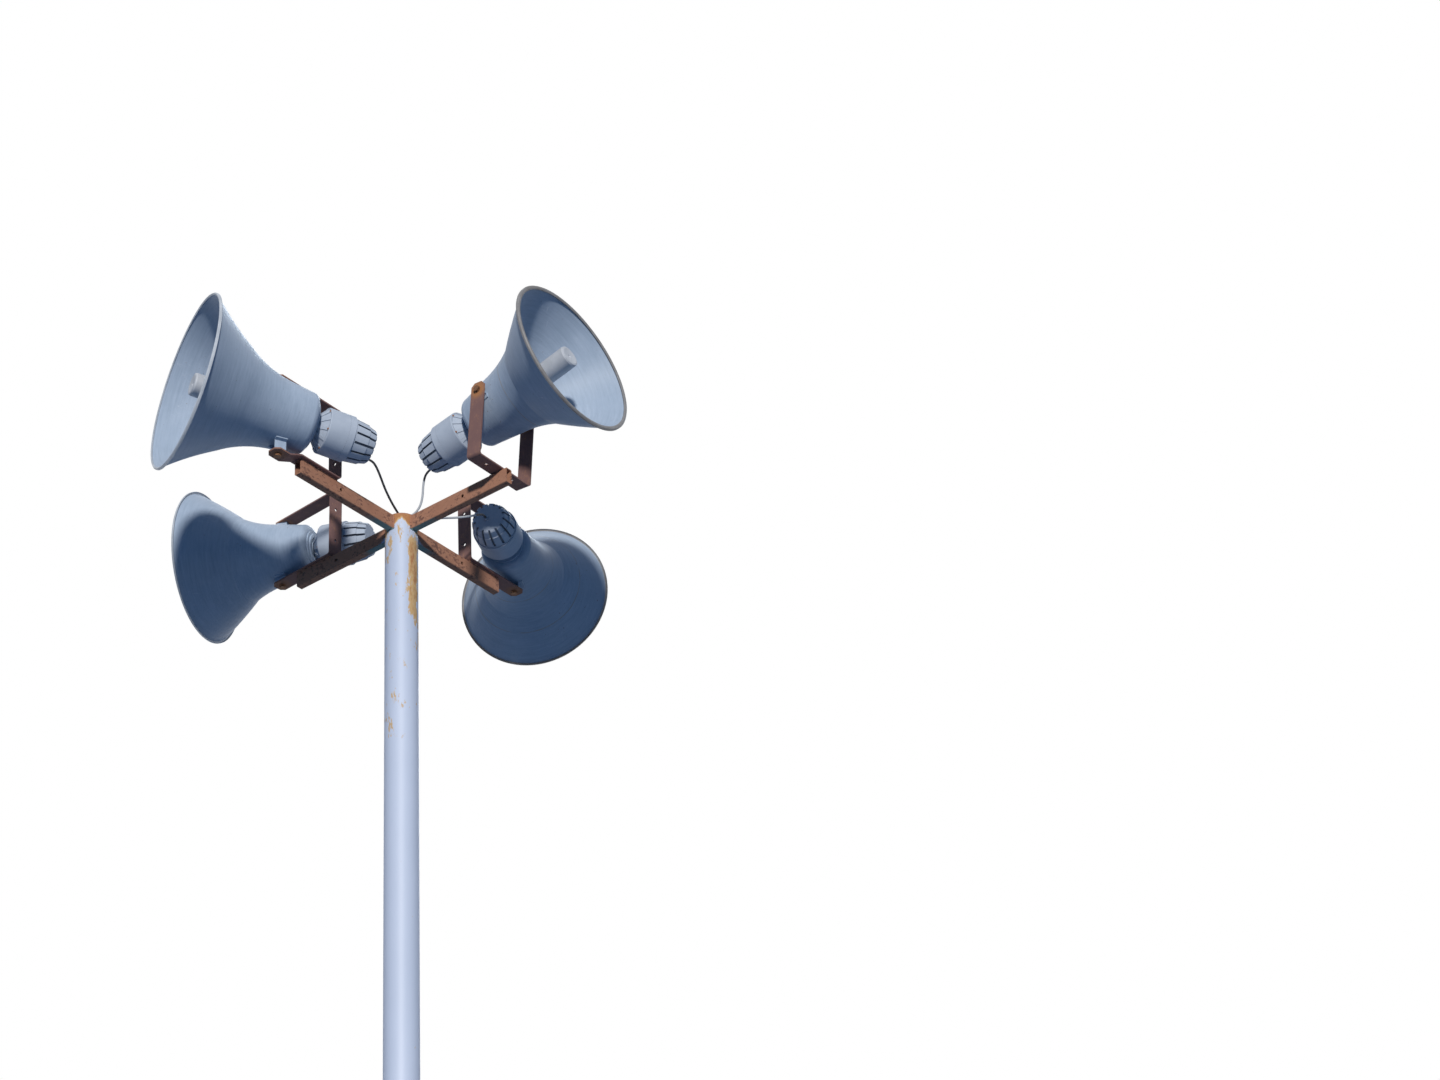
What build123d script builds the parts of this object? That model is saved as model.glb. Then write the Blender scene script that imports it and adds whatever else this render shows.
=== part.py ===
from build123d import *
import math
import os

# A loudspeaker pole: a steel tube on a base plate, with four welded box-section arms at its top.
# Each arm carries a bent strip bracket, and each bracket a re-entrant horn loudspeaker.
# Millimetres, +Z up, origin at the centre of the base plate's underside.

os.makedirs("parts", exist_ok=True)

# Pole and base plate
pole_height = 5700.0
pole_diameter = 101.6
pole_wall = 4.0
cap_rise = 8.0
cap_thickness = 3.0
cap_hole_radius = 10.0
base_plate_side = 300.0
base_plate_thickness = 16.0
anchor_spacing = 220.0
anchor_hole_diameter = 22.0
gusset_height = 150.0
gusset_reach = 72.0
gusset_thickness = 8.0
gusset_toe = 14.0
weld_gap = 0.3

# Arms: rectangular hollow section, open at the outer end
arm_height = 50.0
arm_width = 25.0
arm_wall = 3.0
arm_hole_diameter = 11.0
arm_corner = 3.5

# Brackets: flat strip bent into a U
strip_width = 50.0
strip_thickness = 5.0
strip_bend = 9.0
tip_chamfer = 12.0
tip_margin = 25.0
bracket_hole_diameter = 11.0
bracket_hole_spacing = 116.0

# Pivot bolts, with the lugs of the horns that turn on them
bolt_diameter = 10.0
bolt_clearance = 0.3
bolt_head_width = 17.0
bolt_head_height = 6.5
washer_diameter = 22.0
washer_thickness = 2.0
nut_height = 5.0
lug_thickness = 3.0
lug_width = 40.0
lug_length = 36.0
lug_foot = 11.0
lug_gap = 0.3

# Horns: sheet thickness, the rolled rim, the throat tube with its reflector cup, the back plate
bell_wall = 2.5
lip_gap = 0.3
plate_gap = 0.3
throat_outer_radius = 19.0
throat_bore_radius = 13.0
cup_radius = 35.0
cup_flare = 4.0
cup_wall = 3.0
cup_length = 185.0
cup_skirt = 80.0
cup_dish = 5.0
throat_setback = 34.0
fin_setback = 60.0
cup_screw_radius = 4.0
fin_thickness = 4.0
fin_length = 70.0
back_plate_thickness = 5.0
plate_margin = 4.0
ring_height = 4.0
ring_margin = 10.0
ring_width = 14.0
collar_radius = 25.0
collar_length = 15.0
collar_grip = 8.0

# Drivers: ribbed cone, plain band, flange and finned tail
driver_radius = 71.0
driver_nose_radius = 34.0
driver_cone_length = 32.0
driver_band_length = 60.0
driver_rib_count = 12
driver_rib_width = 9.0
driver_recess = 7.0
driver_gap = 0.3
flange_length = 20.0
flange_radius = 71.0
tail_front_radius = 67.0
tail_step_radius = 61.0
tail_end_radius = 52.0
tail_front_length = 48.0
tail_end_length = 26.0
tail_step = 2.5
groove_count = 14
groove_width = 7.0
groove_depth = 9.0
gland_radius = 7.0
gland_length = 8.0

# Cable entry on the cap
entry_radius = 18.0
entry_height = 14.0
entry_top_radius = 15.0
entry_lip = 2.0
entry_gap = 0.1

# Each arm: heading in degrees, reach from the pole's axis, place of the hole in its side
arms = {
    "a": {"heading": -132.3, "reach": 453.0, "hole": 281.0},
    "b": {"heading": -42.3, "reach": 430.0, "hole": 258.0},
    "c": {"heading": 137.2, "reach": 440.0, "hole": 268.0},
    "d": {"heading": 47.9, "reach": 448.0, "hole": 270.0},
}

# Brackets that lie along their arm: strip's outer face from the pole's axis, height of the U,
# length of its legs, its turn off the arm's line, and how far the lower leg is joggled down.
lying_brackets = {
    "a": {"station": 293.0, "height": 246.0, "leg": 269.0, "yaw": 0.0, "joggle": 22.0},
    "c": {"station": 282.5, "height": 234.0, "leg": 269.0, "yaw": -2.0, "joggle": 0.0},
    "d": {"station": 296.0, "height": 242.0, "leg": 269.0, "yaw": 0.0, "joggle": 0.0},
}
joggle_start = 8.0
joggle_run = 48.0

# The bracket that stands across its arm's end, leaning outwards
standing = {"station": 392.0, "height": 236.0, "leg": 258.0, "lean": 5.4}

# Height of the three panning pivots above the arms' top
pan_pivot_height = 118.0

# Horn forms: stations back from the mouth with the outer radius there, or for the flare with
# how far inside the mouth's radius the bell lies, so that the bell follows its rim.
wide_horn = {
    "mouth": 250.0,
    "rim_width": 12.0,
    "flare": [(5.0, 7.0), (60.0, 44.0), (150.0, 112.0)],
    "waist": [(210.0, 112.5), (278.0, 98.0)],
    "body_end": (362.0, 83.0),
    "back": 384.0,
    "back_radius": 63.0,
    "pivot": 278.0,
    "cup_face": 10.0,
}
long_horn = {
    "mouth": 271.0,
    "rim_width": 7.0,
    "flare": [(4.0, 4.0), (70.0, 57.0), (150.0, 109.0)],
    "waist": [(215.0, 127.0), (298.0, 105.0)],
    "body_end": (374.0, 97.0),
    "back": 396.0,
    "back_radius": 76.0,
    "pivot": 298.0,
    "cup_face": 22.0,
}
horns = {
    "a": {"form": long_horn, "heading": -155.3, "nod": 5.9, "bent": 0.0, "gland": (38.0, 240.0)},
    "b": {"form": wide_horn, "heading": -42.3, "nod": 9.4, "bent": 2.1, "gland": (30.0, 127.0)},
    "c": {"form": wide_horn, "heading": 158.4, "nod": 2.7, "bent": 0.0, "gland": (28.0, 180.0)},
    "d": {"form": wide_horn, "heading": 72.8, "nod": 5.1, "bent": 0.0, "gland": (8.0, 90.0)},
}

# Each horn's lead from its driver's gland to the pole's cable entry, as points chosen by hand:
# across, along, and up from the arms' top
lead_diameter = 7.0
lead_routes = {
    "a": [
        (-100.9, -241.1, 67.7),
        (-90.0, -236.1, 66.5),
        (-78.5, -221.0, 62.0),
        (-66.0, -187.0, 51.5),
        (-48.0, -124.0, 34.0),
        (-23.0, -59.0, 18.5),
        (-5.3, -15.5, 15.2),
    ],
    "b": [
        (95.7, -54.8, 165.4),
        (84.7, -44.8, 162.9),
        (72.7, -33.8, 150.9),
        (67.0, -29.5, 120.0),
        (65.0, -24.0, 76.0),
        (56.0, -18.5, 43.0),
        (37.0, -10.5, 21.0),
        (16.1, -4.1, 15.4),
    ],
    "d": [
        (262.0, 104.8, 90.1),
        (256.3, 86.5, 87.5),
        (238.0, 63.5, 72.0),
        (190.0, 42.0, 47.0),
        (118.0, 29.0, 36.0),
        (56.0, 14.0, 22.0),
        (15.4, 6.0, 15.4),
    ],
}

arm_top = pole_height
pole_radius = pole_diameter / 2
plate_top = base_plate_thickness


def direction(heading, rise=0.0):
    """Unit vector of a compass heading and a rise above level, in degrees."""
    flat = math.cos(math.radians(rise))
    return Vector(
        flat * math.cos(math.radians(heading)),
        flat * math.sin(math.radians(heading)),
        math.sin(math.radians(rise)),
    )


def level_frame(origin, heading):
    """A frame that stands upright, with its X along the heading."""
    return Plane(origin=origin, x_dir=direction(heading), z_dir=(0, 0, 1))


def side_of(frame):
    """The frame's own XZ plane: drawing X stays along X, and drawing Y goes up."""
    return Plane(origin=frame.origin, x_dir=frame.x_dir, z_dir=-frame.y_dir)


def across(frame):
    """The frame's own YZ plane: drawing X goes across, and drawing Y goes up."""
    return Plane(origin=frame.origin, x_dir=frame.y_dir, z_dir=frame.x_dir)


# Base plate, with four gussets welded between it and the foot of the pole
with BuildPart() as base_plate:
    with BuildSketch():
        RectangleRounded(base_plate_side, base_plate_side, 12)
        with GridLocations(anchor_spacing, anchor_spacing, 2, 2):
            Circle(anchor_hole_diameter / 2, mode=Mode.SUBTRACT)
    extrude(amount=base_plate_thickness)
    for quarter in range(4):
        gusset_frame = level_frame((0, 0, plate_top), 90 * quarter)
        inner = pole_radius + weld_gap
        with BuildSketch(side_of(gusset_frame)):
            with BuildLine():
                Polyline(
                    (inner, 0),
                    (inner + gusset_reach, 0),
                    (inner + gusset_reach, gusset_toe),
                    (inner + gusset_toe, gusset_height),
                    (inner, gusset_height),
                    close=True,
                )
            make_face()
        extrude(amount=gusset_thickness / 2, both=True)
base_plate.part.label = "base_plate"
export_step(base_plate.part, "parts/base_plate.step")

# Pole: a plain steel tube from the base plate to the arms' top
with BuildPart() as pole:
    with BuildSketch(Plane.XY.offset(plate_top)):
        Circle(pole_radius)
        Circle(pole_radius - pole_wall, mode=Mode.SUBTRACT)
    extrude(amount=pole_height - plate_top)
pole.part.label = "pole"
export_step(pole.part, "parts/pole.step")

# Cap: a shallow dished disc welded over the tube's end, with a hole for the leads
with BuildPart() as pole_cap:
    with BuildSketch(Plane.XZ):
        with BuildLine():
            Line((cap_hole_radius, pole_height + cap_rise), (cap_hole_radius, pole_height))
            Line((cap_hole_radius, pole_height), (pole_radius, pole_height))
            Line((pole_radius, pole_height), (pole_radius, pole_height + cap_thickness))
            ThreePointArc(
                (pole_radius, pole_height + cap_thickness),
                (pole_radius * 0.62, pole_height + cap_rise * 0.85),
                (cap_hole_radius, pole_height + cap_rise),
            )
        make_face()
    revolve(axis=Axis.Z)
pole_cap.part.label = "pole_cap"
export_step(pole_cap.part, "parts/pole_cap.step")

# Cable entry: a rubber grommet that stands in the cap's hole and closes round the leads
with BuildPart() as cable_entry:
    entry_foot = pole_height + cap_rise + entry_gap
    with BuildSketch(Plane.XZ):
        with BuildLine():
            Polyline(
                (0, entry_foot),
                (entry_radius, entry_foot),
                (entry_radius, entry_foot + entry_lip),
                (entry_top_radius, entry_foot + entry_lip),
                (entry_top_radius, entry_foot + entry_height - entry_lip),
                (entry_top_radius - entry_lip, entry_foot + entry_height),
                (0, entry_foot + entry_height),
                close=True,
            )
        make_face()
    revolve(axis=Axis.Z)
cable_entry.part.label = "cable_entry"
export_step(cable_entry.part, "parts/cable_entry.step")

# Arms: box section, coped to the pole, with one bolt hole through both sides
for letter, arm in arms.items():
    frame = level_frame((0, 0, arm_top), arm["heading"])
    with BuildPart() as arm_tube:
        with BuildSketch(across(frame)):
            with Locations((0, -arm_height / 2)):
                RectangleRounded(arm_width, arm_height, arm_corner)
                Rectangle(arm_width - 2 * arm_wall, arm_height - 2 * arm_wall, mode=Mode.SUBTRACT)
        extrude(amount=arm["reach"])
        with BuildSketch(frame):
            Circle(pole_radius + weld_gap)
        extrude(amount=-arm_height, mode=Mode.SUBTRACT)
        with BuildSketch(side_of(frame)):
            with Locations((arm["hole"], -arm_height / 2)):
                Circle(arm_hole_diameter / 2)
        extrude(amount=arm_width, both=True, mode=Mode.SUBTRACT)
    arm_tube.part.label = f"arm_{letter}"
    export_step(arm_tube.part, f"parts/arm_{letter}.step")


def clipped_tip(frame, leg):
    """Plan of a leg with clipped corners at its tip, drawn along the frame's X."""
    half = strip_width / 2
    with BuildSketch(frame) as plan:
        with BuildLine():
            Polyline(
                (0, -half),
                (leg - tip_chamfer, -half),
                (leg, -half + tip_chamfer),
                (leg, half - tip_chamfer),
                (leg - tip_chamfer, half),
                (0, half),
                close=True,
            )
        make_face()
    return plan.sketch


# Brackets that lie along an arm: the lower leg on the arm's top, the upper leg over the horn.
# The horn's pivot axis is upright, through both legs near their tips.
pivots = {}
leg_faces = {}
for letter, bracket in lying_brackets.items():
    heading = arms[letter]["heading"]
    foot = direction(heading) * bracket["station"] + Vector(0, 0, arm_top)
    frame = level_frame(foot, heading + bracket["yaw"])
    height = bracket["height"]
    leg = bracket["leg"]
    pivot_reach = leg - tip_margin
    mid = strip_thickness / 2
    arm_end = arms[letter]["reach"] - bracket["station"] + joggle_start
    drop = bracket["joggle"]
    if drop:
        lower_leg = [(leg, mid - drop), (arm_end + joggle_run, mid - drop), (arm_end, mid)]
    else:
        lower_leg = [(leg, mid)]
    with BuildPart() as lying_bracket:
        with BuildSketch(side_of(frame)):
            with BuildLine() as bent:
                upper_leg = [(mid, height - mid), (leg, height - mid)]
                FilletPolyline(*lower_leg, (mid, mid), *upper_leg, radius=strip_bend)
            trace(line_width=strip_thickness)
        extrude(amount=strip_width / 2, both=True)
        extrude(clipped_tip(frame.offset(-drop), leg), amount=height + drop, mode=Mode.INTERSECT)
        with BuildSketch(frame.offset(-drop)):
            with Locations((pivot_reach, 0)):
                Circle(bracket_hole_diameter / 2)
        extrude(amount=height + drop, mode=Mode.SUBTRACT)
        with BuildSketch(across(frame)):
            low_hole = (height - bracket_hole_spacing) / 2
            with Locations((0, low_hole), (0, low_hole + bracket_hole_spacing)):
                Circle(bracket_hole_diameter / 2)
        extrude(amount=strip_thickness, mode=Mode.SUBTRACT)
    lying_bracket.part.label = f"bracket_{letter}"
    export_step(lying_bracket.part, f"parts/bracket_{letter}.step")
    pivot = frame.from_local_coords(Vector(pivot_reach, 0, pan_pivot_height))
    pivots[letter] = Plane(origin=pivot, x_dir=frame.x_dir, z_dir=(0, 0, 1))
    leg_faces[letter] = (
        height - strip_thickness - pan_pivot_height,
        pan_pivot_height - strip_thickness + drop,
    )

# The standing bracket: a U across the end of its arm, leaning outwards, with a level pivot axis
heading = arms["b"]["heading"]
lean = standing["lean"]
raise_of_base = strip_width / 2 * math.sin(math.radians(lean))
foot = direction(heading) * standing["station"] + Vector(0, 0, arm_top + raise_of_base)
upright = Plane(origin=foot, x_dir=direction(heading, -lean), z_dir=direction(heading, 90 - lean))
half_base = standing["height"] / 2
mid = strip_thickness / 2
leg = standing["leg"]
with BuildPart() as standing_bracket:
    with BuildSketch(across(upright)):
        with BuildLine():
            FilletPolyline(
                (-half_base + mid, leg),
                (-half_base + mid, mid),
                (half_base - mid, mid),
                (half_base - mid, leg),
                radius=strip_bend,
            )
        trace(line_width=strip_thickness)
    extrude(amount=strip_width / 2, both=True)
    tip_plane = Plane(origin=foot, x_dir=upright.z_dir, z_dir=upright.y_dir)
    extrude(clipped_tip(tip_plane, leg), amount=half_base, both=True, mode=Mode.INTERSECT)
    with BuildSketch(tip_plane):
        with Locations((leg - tip_margin, 0)):
            Circle(bracket_hole_diameter / 2)
    extrude(amount=half_base, both=True, mode=Mode.SUBTRACT)
    with BuildSketch(upright):
        with Locations((0, -bracket_hole_spacing / 2), (0, bracket_hole_spacing / 2)):
            Circle(bracket_hole_diameter / 2)
    extrude(amount=strip_thickness, mode=Mode.SUBTRACT)
standing_bracket.part.label = "bracket_b"
export_step(standing_bracket.part, "parts/bracket_b.step")
pivot = upright.from_local_coords(Vector(0, 0, leg - tip_margin))
pivots["b"] = Plane(origin=pivot, x_dir=upright.x_dir, z_dir=upright.y_dir)
leg_faces["b"] = (half_base - strip_thickness, half_base - strip_thickness)

# Pivot bolts: hexagon head and washer outside each leg, nut inside the horn's lug
for letter, pivot_frame in pivots.items():
    with BuildPart() as pivot_bolts:
        for side, inner_face in zip((1, -1), leg_faces[letter]):
            out = pivot_frame.z_dir * side
            seat = Plane(
                origin=pivot_frame.origin + out * inner_face,
                x_dir=pivot_frame.x_dir,
                z_dir=out,
            )
            nut_seat = -(lug_gap * 2 + lug_thickness)
            with BuildSketch(seat.offset(nut_seat - nut_height)):
                Circle(bolt_diameter / 2)
            extrude(amount=nut_height - nut_seat + strip_thickness + washer_thickness)
            with BuildSketch(seat.offset(nut_seat - nut_height)):
                RegularPolygon(bolt_head_width / 2, 6, major_radius=False)
            extrude(amount=nut_height)
            with BuildSketch(seat.offset(strip_thickness)):
                Circle(washer_diameter / 2)
            extrude(amount=washer_thickness)
            with BuildSketch(seat.offset(strip_thickness + washer_thickness)):
                RegularPolygon(bolt_head_width / 2, 6, major_radius=False)
            extrude(amount=bolt_head_height)
    pivot_bolts.part.label = f"pivot_bolts_{letter}"
    export_step(pivot_bolts.part, f"parts/pivot_bolts_{letter}.step")


def flare_points(form):
    """The flare's (station, outer radius) points, which keep their distance in from the mouth."""
    return [(station, form["mouth"] - inset) for station, inset in form["flare"]]


def outline(form, shift, lip):
    """The horn's outer line from lip to back, moved inwards by shift, in (station, radius)."""
    (t0, r0), (t1, r1), (t2, r2) = flare_points(form)
    (t3, r3), (t4, r4) = form["waist"]
    t5, r5 = form["body_end"]
    ThreePointArc((lip, r0 - shift), (t1, r1 - shift), (t2, r2 - shift))
    ThreePointArc((t2, r2 - shift), (t3, r3 - shift), (t4, r4 - shift))
    Line((t4, r4 - shift), (t5, r5 - shift))
    corner = (form["back"] - t5) - shift
    knee = math.sqrt(0.5)
    end = (form["back"] - shift, form["back_radius"] - shift * 0.2)
    ThreePointArc(
        (t5, r5 - shift),
        (t5 + corner * knee, end[1] + (r5 - shift - end[1]) * knee),
        end,
    )
    return end


def waist_line(form, out):
    """Draws the body's line from the flare's end to the rounded back, moved outwards by out."""
    t2, r2 = flare_points(form)[2]
    (t3, r3), (t4, r4) = form["waist"]
    t5, r5 = form["body_end"]
    ThreePointArc((t2, r2 + out), (t3, r3 + out), (t4, r4 + out))
    Line((t4, r4 + out), (t5, r5 + out))
    return (t2, r2 + out), (t5, r5 + out)


def horn_frame(letter, bend=0.0):
    """Drawing plane of a horn: X runs back from the mouth's centre along the axis, Y outwards.

    A bend turns the plane upwards about the centre of the horn's back, in degrees.
    """
    horn = horns[letter]
    form = horn["form"]
    forward = direction(horn["heading"], horn["nod"])
    back_centre = pivots[letter].origin + forward * (form["pivot"] - form["back"])
    turned = direction(horn["heading"], horn["nod"] + bend)
    sideways = Vector(0, 0, 1).cross(turned).normalized()
    return Plane(origin=back_centre + turned * form["back"], x_dir=-turned, z_dir=sideways)


for letter, horn in horns.items():
    form = horn["form"]
    frame = horn_frame(letter)
    axis = Axis(frame.origin, frame.x_dir)
    lip_station, lip_radius = flare_points(form)[0]
    back = form["back"]

    # Bell: spun sheet, one shell from the lip over the round body to the turned-in back
    with BuildPart() as bell:
        with BuildSketch(frame):
            with BuildLine():
                outer_end = outline(form, 0, lip_station)
                back_inner = throat_outer_radius + weld_gap
                inner_end = outline(form, bell_wall, lip_station)
                Line(outer_end, (back, back_inner))
                Line((back, back_inner), (back - bell_wall, back_inner))
                Line((back - bell_wall, back_inner), inner_end)
                Line((lip_station, lip_radius), (lip_station, lip_radius - bell_wall))
            make_face()
        revolve(axis=axis)
    bell.part.label = f"bell_{letter}"
    export_step(bell.part, f"parts/bell_{letter}.step")

    # Rim: the rolled bead round the mouth
    rim_width = form["rim_width"]
    with BuildPart() as rim:
        rim_back = lip_station - lip_gap
        with BuildSketch(frame):
            with BuildLine():
                Polyline(
                    (rim_back, form["mouth"] - rim_width),
                    (rim_back - 2.5, form["mouth"] - rim_width - 1),
                    (rim_back - 5, form["mouth"] - rim_width + 3),
                    (rim_back - 5, form["mouth"] - 3),
                    (rim_back - 2, form["mouth"]),
                    (rim_back + 3, form["mouth"]),
                    (rim_back, form["mouth"] - 3),
                    close=True,
                )
            make_face()
        revolve(axis=axis)
    rim.part.label = f"rim_{letter}"
    export_step(rim.part, f"parts/rim_{letter}.step")

    # Back: plate with a raised ring, the threaded collar, and the throat tube that runs forward
    # inside the bell, with three fins that carry the reflector cup
    cup_frame = horn_frame(letter, horn["bent"])
    cup_axis = Axis(cup_frame.origin, cup_frame.x_dir)
    cup_face = form["cup_face"]
    throat_front = cup_face + throat_setback
    plate_front = back + plate_gap
    plate_back = plate_front + back_plate_thickness
    collar_end = plate_back + collar_length
    plate_radius = form["back_radius"] - plate_margin
    with BuildPart() as horn_back:
        with BuildSketch(frame):
            with BuildLine():
                Polyline(
                    (plate_front, 0),
                    (plate_front, plate_radius),
                    (plate_back, plate_radius),
                    (plate_back, plate_radius - ring_margin),
                    (plate_back + ring_height, plate_radius - ring_margin - 2),
                    (plate_back + ring_height, plate_radius - ring_margin - ring_width + 2),
                    (plate_back, plate_radius - ring_margin - ring_width),
                    (plate_back, collar_radius),
                    (collar_end, collar_radius),
                    (collar_end, 0),
                    close=True,
                )
            make_face()
        revolve(axis=axis)
        with BuildSketch(cup_frame):
            with BuildLine():
                Polyline(
                    (throat_front, 0),
                    (throat_front, throat_outer_radius),
                    (plate_front + back_plate_thickness / 2, throat_outer_radius),
                    (plate_front + back_plate_thickness / 2, 0),
                    close=True,
                )
            make_face()
        revolve(axis=cup_axis)
        fin_front = cup_face + fin_setback
        for turn in range(3):
            across_fin = cup_frame.z_dir.rotate(Axis((0, 0, 0), cup_frame.x_dir), 90 + 120 * turn)
            with BuildSketch(Plane(origin=cup_frame.origin, x_dir=cup_frame.x_dir, z_dir=across_fin)):
                with BuildLine():
                    Polyline(
                        (fin_front, throat_outer_radius - 1),
                        (fin_front + fin_length, throat_outer_radius - 1),
                        (fin_front + fin_length, cup_radius - cup_wall - plate_gap),
                        (fin_front, cup_radius - cup_wall - plate_gap),
                        close=True,
                    )
                make_face()
            extrude(amount=fin_thickness / 2, both=True)
        bore_start = Plane(
            origin=cup_frame.from_local_coords(Vector(throat_front, 0, 0)),
            x_dir=cup_frame.y_dir,
            z_dir=cup_frame.x_dir,
        )
        with BuildSketch(bore_start):
            Circle(throat_bore_radius)
        extrude(amount=2 * back, mode=Mode.SUBTRACT)
    horn_back.part.label = f"horn_back_{letter}"
    export_step(horn_back.part, f"parts/horn_back_{letter}.step")

    # Reflector cup: the plug that shows in the mouth, closed, dished and screwed at its face
    with BuildPart() as cup:
        cup_end = cup_face + cup_length
        with BuildSketch(cup_frame):
            with BuildLine():
                Polyline(
                    (cup_face + cup_dish, 0),
                    (cup_face + cup_dish, cup_screw_radius),
                    (cup_face + cup_dish - 2, cup_screw_radius + 1),
                    (cup_face, cup_radius - 7),
                    (cup_face + 1.5, cup_radius - 2),
                    (cup_face + 6, cup_radius),
                    (cup_end - cup_skirt, cup_radius),
                    (cup_end, cup_radius + cup_flare),
                    (cup_end, cup_radius + cup_flare - cup_wall),
                    (cup_end - cup_skirt, cup_radius - cup_wall),
                    (cup_face + cup_dish + cup_wall, cup_radius - cup_wall),
                    (cup_face + cup_dish + cup_wall, 0),
                    close=True,
                )
            make_face()
        revolve(axis=cup_axis)
    cup.part.label = f"reflector_cup_{letter}"
    export_step(cup.part, f"parts/reflector_cup_{letter}.step")

    # Driver front: the ribbed cone and the plain band, screwed onto the collar
    nose = collar_end - collar_grip
    band_start = nose + driver_cone_length
    band_end = band_start + driver_band_length
    bore = collar_radius + driver_gap
    with BuildPart() as driver_front:
        with BuildSketch(frame):
            with BuildLine():
                Polyline(
                    (nose, bore),
                    (nose, driver_nose_radius - driver_recess * 0.4),
                    (band_start - 3, driver_radius - driver_recess),
                    (band_start - 3, driver_radius - 1.5),
                    (band_start, driver_radius),
                    (band_end, driver_radius),
                    (band_end, 0),
                    (collar_end + driver_gap, 0),
                    (collar_end + driver_gap, bore),
                    close=True,
                )
            make_face()
        revolve(axis=axis)
        for turn in range(driver_rib_count):
            rib_frame = Plane(
                origin=frame.origin,
                x_dir=frame.x_dir,
                z_dir=frame.z_dir.rotate(Axis((0, 0, 0), frame.x_dir), 360 / driver_rib_count * turn),
            )
            with BuildSketch(rib_frame):
                with BuildLine():
                    Polyline(
                        (nose + 2, bore + 1),
                        (nose, driver_nose_radius),
                        (band_start - 1, driver_radius - 1.5),
                        (band_start, driver_radius - driver_recess - 3),
                        close=True,
                    )
                make_face()
            extrude(amount=driver_rib_width / 2, both=True)
    driver_front.part.label = f"driver_front_{letter}"
    export_step(driver_front.part, f"parts/driver_front_{letter}.step")

    # Driver tail: flange, two stepped tiers of fins, and the gland that the lead leaves by
    tail_start = band_end + driver_gap
    tier_start = tail_start + flange_length
    tier_step = tier_start + tail_front_length
    tail_end = tier_step + tail_end_length
    with BuildPart() as driver_tail:
        with BuildSketch(frame):
            with BuildLine():
                Polyline(
                    (tail_start, 0),
                    (tail_start, flange_radius),
                    (tier_start, flange_radius),
                    (tier_start, tail_front_radius),
                    (tier_step, tail_step_radius),
                    (tier_step, tail_step_radius - tail_step),
                    (tail_end - 3, tail_end_radius),
                    (tail_end, tail_end_radius - 3),
                    (tail_end, 0),
                    close=True,
                )
            make_face()
        revolve(axis=axis)
        for turn in range(groove_count):
            groove_frame = Plane(
                origin=frame.origin,
                x_dir=frame.x_dir,
                z_dir=frame.z_dir.rotate(Axis((0, 0, 0), frame.x_dir), 360 / groove_count * turn),
            )
            with BuildSketch(groove_frame):
                with BuildLine():
                    Polyline(
                        (tier_start + 5, tail_front_radius + 4),
                        (tier_start + 5, tail_front_radius - groove_depth + 2),
                        (tail_end + 2, tail_end_radius - groove_depth),
                        (tail_end + 2, tail_end_radius + 14),
                        close=True,
                    )
                make_face()
            extrude(amount=groove_width / 2, both=True, mode=Mode.SUBTRACT)
        gland_offset, gland_turn = horn["gland"]
        gland_up = gland_offset * math.cos(math.radians(gland_turn))
        gland_left = gland_offset * math.sin(math.radians(gland_turn))
        gland_plane = Plane(
            origin=frame.from_local_coords(Vector(tail_end, gland_up, gland_left)),
            x_dir=frame.y_dir,
            z_dir=frame.x_dir,
        )
        with BuildSketch(gland_plane):
            Circle(gland_radius)
        extrude(amount=gland_length)
    driver_tail.part.label = f"driver_tail_{letter}"
    export_step(driver_tail.part, f"parts/driver_tail_{letter}.step")

    # Lugs: a hat-shaped strap on each side of the body. The flat seats against the bracket's leg
    # with the pivot bolt through it, the webs stand on a saddle that follows the body's surface.
    pivot_frame = pivots[letter]
    facing = (frame.x_dir - pivot_frame.z_dir * frame.x_dir.dot(pivot_frame.z_dir)).normalized()
    lug_plane = Plane(origin=pivot_frame.origin, x_dir=facing, z_dir=pivot_frame.z_dir)
    saddle_reach = max(leg_faces[letter])
    lug_hole = bolt_diameter / 2 + bolt_clearance
    with BuildPart() as lugs:
        with BuildSketch(frame):
            with BuildLine():
                inner_ends = waist_line(form, lug_gap)
                outer_ends = waist_line(form, lug_gap + lug_thickness)
                Line(inner_ends[0], outer_ends[0])
                Line(inner_ends[1], outer_ends[1])
            make_face()
        revolve(axis=axis)
        with BuildSketch(lug_plane):
            Rectangle(lug_length, lug_width + 2 * lug_foot)
            Rectangle(lug_length, lug_width - 2 * lug_thickness, mode=Mode.SUBTRACT)
        extrude(amount=saddle_reach, both=True, mode=Mode.INTERSECT)
        for side, inner_face in zip((1, -1), leg_faces[letter]):
            out = pivot_frame.z_dir * side
            seat = Plane(origin=pivot_frame.origin + out * (inner_face - lug_gap), x_dir=facing, z_dir=out)
            web_place = (lug_width - lug_thickness) / 2
            with BuildSketch(seat):
                Rectangle(lug_length, lug_width)
                Circle(lug_hole, mode=Mode.SUBTRACT)
            extrude(amount=-lug_thickness)
            with BuildSketch(seat):
                with Locations((0, web_place), (0, -web_place)):
                    Rectangle(lug_length, lug_thickness)
            extrude(amount=-inner_face / 2)
        with BuildSketch(frame):
            with BuildLine():
                ends = waist_line(form, lug_gap)
                Polyline(ends[0], (ends[0][0], 0), (ends[1][0], 0), ends[1])
            make_face()
        revolve(axis=axis, mode=Mode.SUBTRACT)
    lugs.part.label = f"lugs_{letter}"
    export_step(lugs.part, f"parts/lugs_{letter}.step")

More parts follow.
